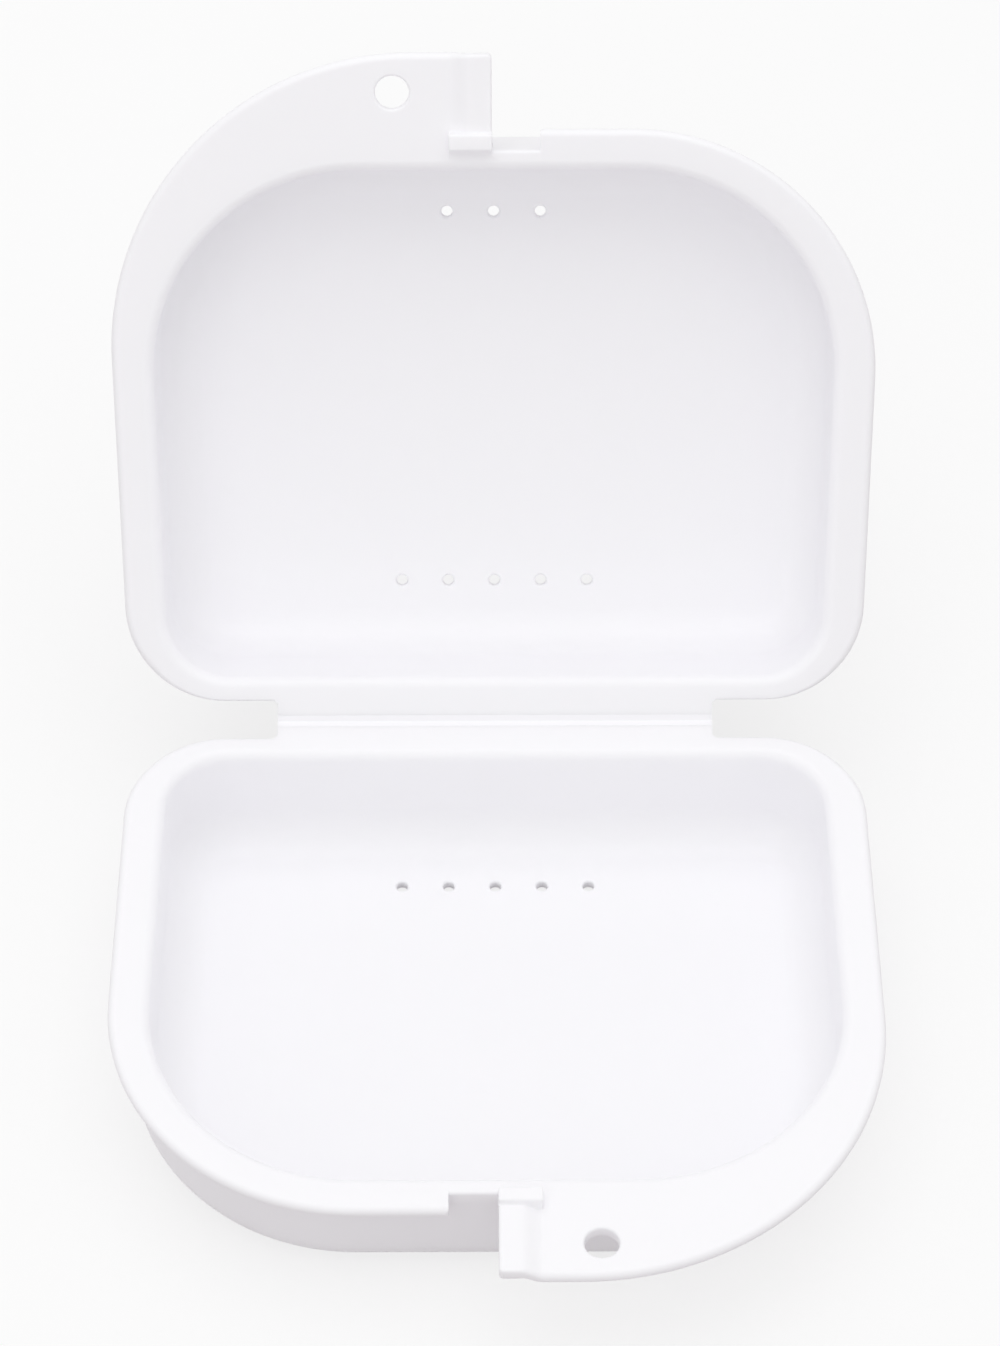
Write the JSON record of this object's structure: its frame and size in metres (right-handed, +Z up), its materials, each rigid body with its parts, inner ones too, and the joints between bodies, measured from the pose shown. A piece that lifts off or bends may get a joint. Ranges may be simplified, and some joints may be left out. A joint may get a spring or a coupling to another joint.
{
  "type": "orthodontic retainer case",
  "caption": "Shallow two-part plastic case for a dental retainer, with a living hinge, finger tabs with lanyard holes, a friction catch and vent holes in both halves.",
  "frame": {"origin": "centre of the flat underside of the base", "axes": "+Z up out of the base, X along the hinge, front with the finger tabs towards -Y, hinge at +Y"},
  "size_m": [0.0812, 0.1188, 0.072],
  "materials": {
    "white_plastic": "satin moulded polypropylene, slightly cool white"
  },
  "bodies": {
    "base": {"base_shell": "white_plastic", "hinge_web": "white_plastic"},
    "lid": {"lid_shell": "white_plastic"}
  },
  "joints": [
    {"name": "lid_hinge", "type": "hinge", "parent": "base", "child": "lid", "pos_m": [0, 0.0322, 0.01413], "axis": [1, 0, 0], "range_deg": [-53, 127], "deforming": ["hinge_web"]}
  ]
}
